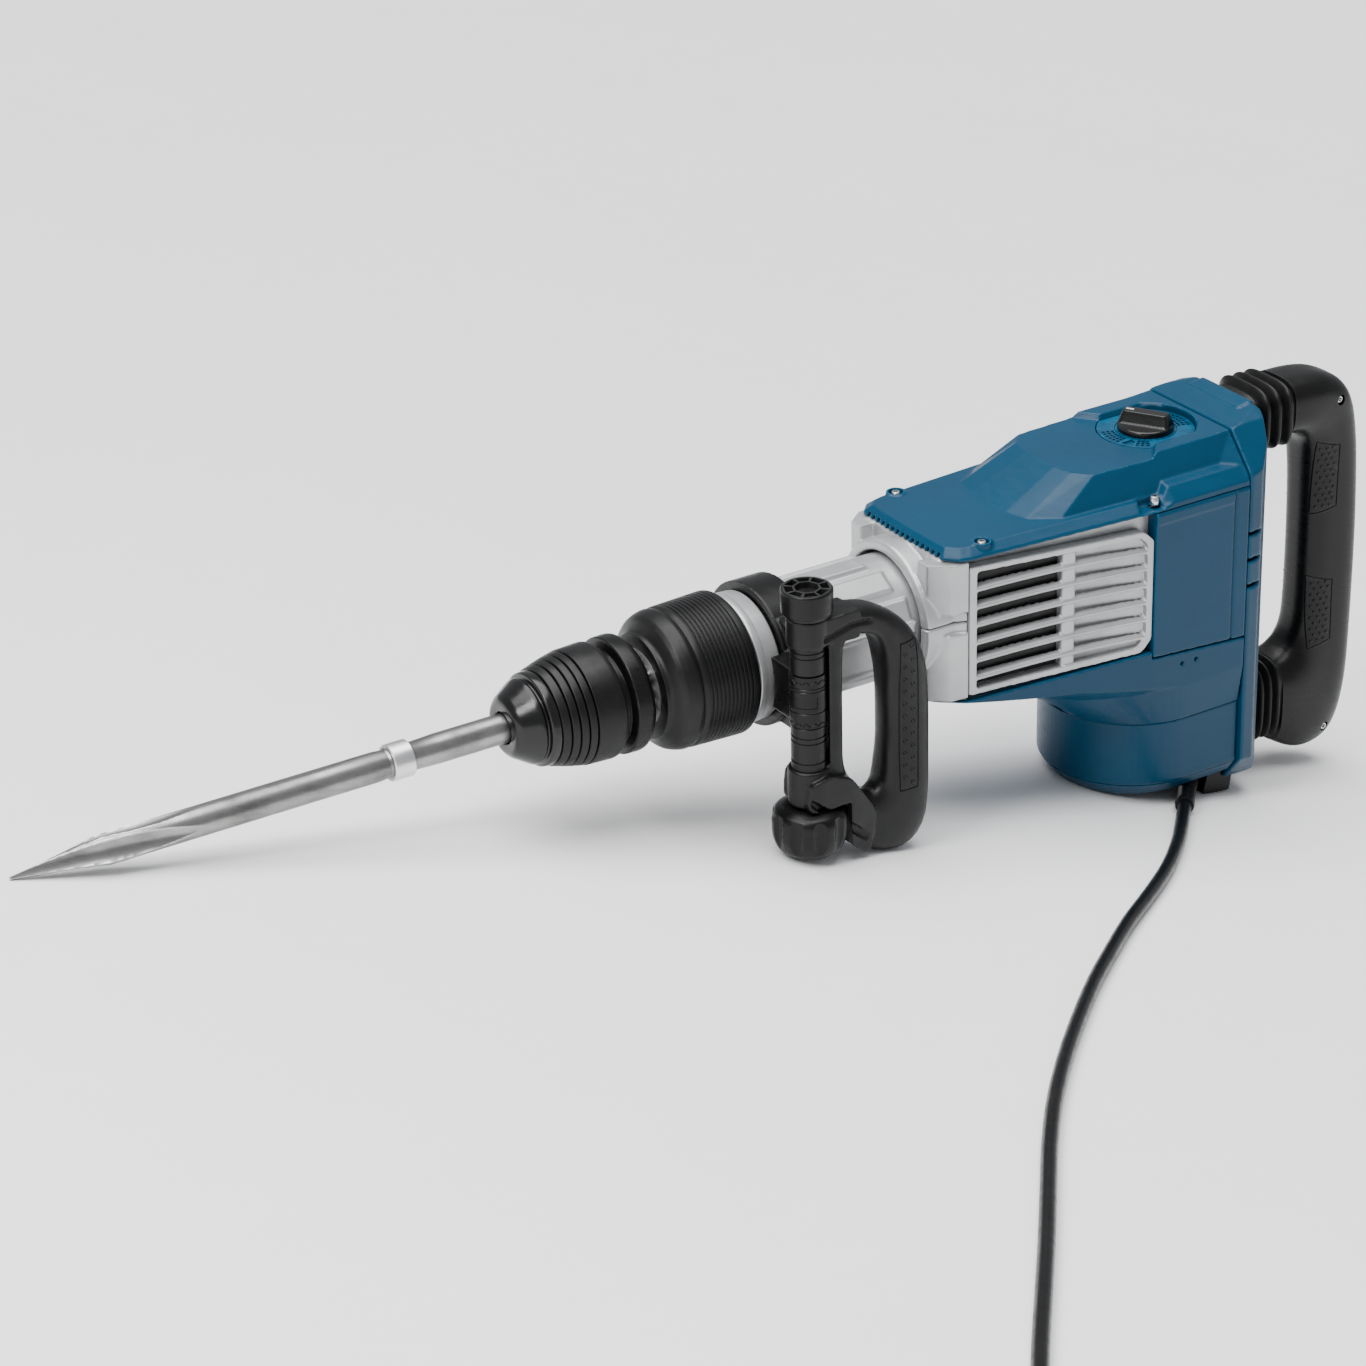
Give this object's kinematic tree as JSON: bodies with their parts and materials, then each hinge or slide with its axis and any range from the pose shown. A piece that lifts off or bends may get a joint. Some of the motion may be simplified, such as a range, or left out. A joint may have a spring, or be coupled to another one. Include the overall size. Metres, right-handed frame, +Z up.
{
  "type": "electric demolition hammer",
  "caption": "Electric demolition hammer with pointed chisel, clamped side grip, damped rear handle, power dial and mains cord.",
  "frame": {"origin": "centre of the resting footprint, at the floor under the hammer lying on its chisel point, motor pot and side grip", "axes": "+Z up from the floor, +X from the chisel towards the rear handle, +Y to the far side, away from the side grip"},
  "size_m": [0.9533, 0.9115, 0.2737],
  "materials": {
    "blue_plastic": "satin moulded plastic, deep blue",
    "silver_metal": "satin silver-grey paint on cast metal",
    "black_rubber": "soft dark grey rubber",
    "black_plastic": "satin black plastic",
    "gloss_black": "smooth glossy black plastic",
    "bright_steel": "machined steel",
    "cast_aluminium": "machined aluminium",
    "laminated_iron": "stacked electrical steel",
    "copper": "copper segments and brass holders",
    "clear_lens": "milky clear lamp lens",
    "cord_pvc": "black rubber mains cord"
  },
  "bodies": {
    "frame": {"barrel_housing": "silver_metal", "front_ring": "silver_metal", "hammer_tube": "bright_steel", "spindle_bearing": "bright_steel", "gear_housing_upper": "silver_metal", "gear_housing_lower": "silver_metal", "side_grille_left": "silver_metal", "side_grille_right": "silver_metal", "hood": "blue_plastic", "hood_screws": "bright_steel", "main_housing": "blue_plastic", "pot_screws": "bright_steel", "chin_cover": "blue_plastic", "motor_pot": "blue_plastic", "pot_cap": "blue_plastic", "rear_cover": "blue_plastic", "rear_light": "clear_lens", "dial_plate": "blue_plastic", "crank_bearing": "bright_steel", "stator": "laminated_iron", "brush_holders": "copper", "rotor_bearings": "bright_steel", "control_module": "black_plastic", "handle_guides": "bright_steel", "damper_springs": "bright_steel", "cable_gland": "black_plastic", "cord_relief": "black_rubber", "power_cord": "cord_pvc", "cord_coil": "cord_pvc", "cord_tie": "black_rubber", "plug": "cord_pvc"},
    "holder": {"tool_holder": "bright_steel", "locking_rollers": "bright_steel", "angle_ring": "black_rubber"},
    "lock_sleeve": {"nose_cap": "black_rubber", "locking_sleeve": "black_rubber", "sleeve_ring": "gloss_black"},
    "chisel": {"chisel": "bright_steel"},
    "beat": {"beat_piece": "bright_steel"},
    "striker": {"striker": "bright_steel"},
    "piston": {"piston": "cast_aluminium", "wrist_pin": "bright_steel"},
    "rotor": {"rotor_shaft": "bright_steel", "rotor_core": "laminated_iron", "commutator": "copper", "fan": "black_plastic"},
    "crank": {"crankshaft": "bright_steel", "crank_gear": "bright_steel"},
    "rod": {"connecting_rod": "cast_aluminium"},
    "dial": {"power_dial": "gloss_black"},
    "rear_handle": {"rear_grip": "black_plastic", "upper_bellows": "black_rubber", "lower_bellows": "black_rubber", "handle_screws": "bright_steel"},
    "switch": {"grip_switch": "black_plastic"},
    "clamp": {"clamp_band": "black_plastic"},
    "side_handle": {"side_grip": "black_rubber", "grip_cap": "black_plastic", "clamp_bolt": "bright_steel"},
    "knob": {"clamp_knob": "black_plastic"}
  },
  "joints": [
    {"name": "angle_ring_turn", "type": "hinge", "parent": "frame", "child": "holder", "pos_m": [-0.0304, 0.0155, 0.09817], "axis": [0.9769, 0, 0.2136], "continuous": true},
    {"name": "sleeve_slide", "type": "slide", "parent": "holder", "child": "lock_sleeve", "axis": [0.9769, 0, 0.2136], "range_m": [0, 0.007], "stiffness_N_per_m": 1500},
    {"name": "chisel_slide", "type": "slide", "parent": "holder", "child": "chisel", "axis": [-0.9769, 0, -0.2136], "range_m": [0, 0.012]},
    {"name": "beat_slide", "type": "slide", "parent": "frame", "child": "beat", "axis": [-0.9769, 0, -0.2136], "range_m": [0, 0.012]},
    {"name": "striker_slide", "type": "slide", "parent": "frame", "child": "striker", "axis": [0.9769, 0, 0.2136], "range_m": [-0.015, 0.009]},
    {"name": "piston_slide", "type": "slide", "parent": "frame", "child": "piston", "axis": [0.9769, 0, 0.2136], "range_m": [-0.028, 0]},
    {"name": "rotor_turn", "type": "hinge", "parent": "frame", "child": "rotor", "pos_m": [0.27538, 0.0155, 0.16503], "axis": [-0.2136, 0, 0.9769], "continuous": true},
    {"name": "crank_turn", "type": "hinge", "parent": "frame", "child": "crank", "pos_m": [0.22751, 0.0155, 0.15457], "axis": [-0.2136, 0, 0.9769], "continuous": true},
    {"name": "rod_turn", "type": "hinge", "parent": "crank", "child": "rod", "pos_m": [0.21383, 0.0155, 0.15158], "axis": [-0.2136, 0, 0.9769], "continuous": true},
    {"name": "dial_turn", "type": "hinge", "parent": "frame", "child": "dial", "pos_m": [0.26815, 0.0155, 0.24023], "axis": [-0.2136, 0, 0.9769], "range_deg": [-150, 150]},
    {"name": "handle_slide", "type": "slide", "parent": "frame", "child": "rear_handle", "axis": [0.9769, 0, 0.2136], "range_m": [-0.005, 0], "stiffness_N_per_m": 8000},
    {"name": "switch_rock", "type": "hinge", "parent": "rear_handle", "child": "switch", "pos_m": [0.45818, 0.0155, 0.14359], "axis": [0, 1, 0], "range_deg": [-3, 3]},
    {"name": "clamp_turn", "type": "hinge", "parent": "frame", "child": "clamp", "pos_m": [0.00282, 0.0155, 0.10544], "axis": [0.9769, 0, 0.2136], "continuous": true},
    {"name": "side_handle_turn", "type": "hinge", "parent": "clamp", "child": "side_handle", "pos_m": [-0.01086, -0.0545, 0.10244], "axis": [-0.2136, 0, 0.9769], "range_deg": [-180, 0]},
    {"name": "knob_turn", "type": "hinge", "parent": "side_handle", "child": "knob", "pos_m": [0.0073, -0.0545, 0.01941], "axis": [-0.2136, 0, 0.9769], "continuous": true}
  ],
  "couplings": [
    {"joint": "beat_slide", "follows": "chisel_slide", "ratio": 1},
    {"joint": "crank_turn", "follows": "rotor_turn", "ratio": -0.225},
    {"joint": "rod_turn", "follows": "rotor_turn", "ratio": 0.225}
  ]
}
